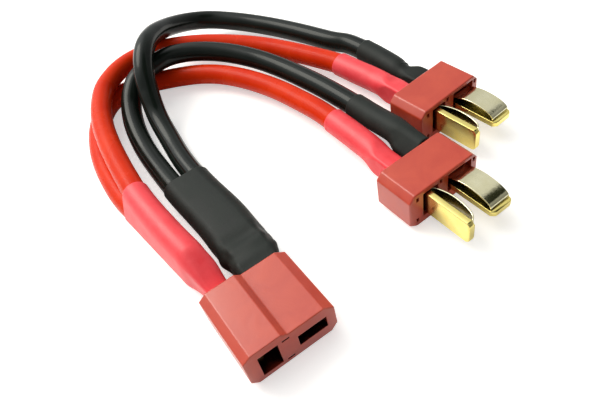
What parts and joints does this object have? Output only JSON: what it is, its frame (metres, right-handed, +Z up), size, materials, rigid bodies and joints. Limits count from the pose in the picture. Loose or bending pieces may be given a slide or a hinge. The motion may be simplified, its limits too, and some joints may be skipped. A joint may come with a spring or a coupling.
{
  "type": "parallel battery harness",
  "caption": "Short Y-shaped power lead: a flat-blade socket and matching flat-blade plugs with bowed springs, joined in parallel by black and red silicone wires under heat-shrink sleeves.",
  "frame": {"origin": "middle of the socket housing's flat underside, on the surface that the harness lies on", "axes": "+X from the socket towards the plugs, +Y from the socket's mating face towards its wires, +Z up"},
  "size_m": [0.0707, 0.0947, 0.0147],
  "materials": {
    "red_nylon": "moulded nylon, half gloss",
    "gold_plate": "gold plated brass, polished",
    "pale_gold_spring": "pale gold plated spring metal, polished",
    "black_silicone": "silicone rubber, half gloss",
    "red_silicone": "silicone rubber, half gloss",
    "black_heat_shrink": "shrunk tube, matte",
    "red_heat_shrink": "shrunk tube, satin",
    "tinned_copper": "bare tinned copper strands",
    "solder": "solder, bright"
  },
  "bodies": {
    "root": {"socket_housing": "red_nylon", "near_plug_housing": "red_nylon", "far_plug_housing": "red_nylon", "socket_red_contact": "gold_plate", "socket_red_sleeve": "red_heat_shrink", "socket_red_solder": "solder", "socket_red_conductor_near": "tinned_copper", "socket_red_conductor_far": "tinned_copper", "socket_black_contact": "gold_plate", "socket_black_sleeve": "black_heat_shrink", "socket_black_solder": "solder", "socket_black_conductor_near": "tinned_copper", "socket_black_conductor_far": "tinned_copper", "near_red_blade": "gold_plate", "near_red_spring": "pale_gold_spring", "near_red_sleeve": "red_heat_shrink", "near_red_solder": "solder", "near_red_conductor": "tinned_copper", "near_black_blade": "gold_plate", "near_black_spring": "pale_gold_spring", "near_black_sleeve": "black_heat_shrink", "near_black_solder": "solder", "near_black_conductor": "tinned_copper", "far_red_blade": "gold_plate", "far_red_spring": "pale_gold_spring", "far_red_sleeve": "red_heat_shrink", "far_red_solder": "solder", "far_red_conductor": "tinned_copper", "far_black_blade": "gold_plate", "far_black_spring": "pale_gold_spring", "far_black_sleeve": "black_heat_shrink", "far_black_solder": "solder", "far_black_conductor": "tinned_copper", "black_wire_far": "black_silicone", "black_wire_near": "black_silicone", "red_wire_far": "red_silicone", "red_wire_near": "red_silicone"}
  },
  "joints": []
}
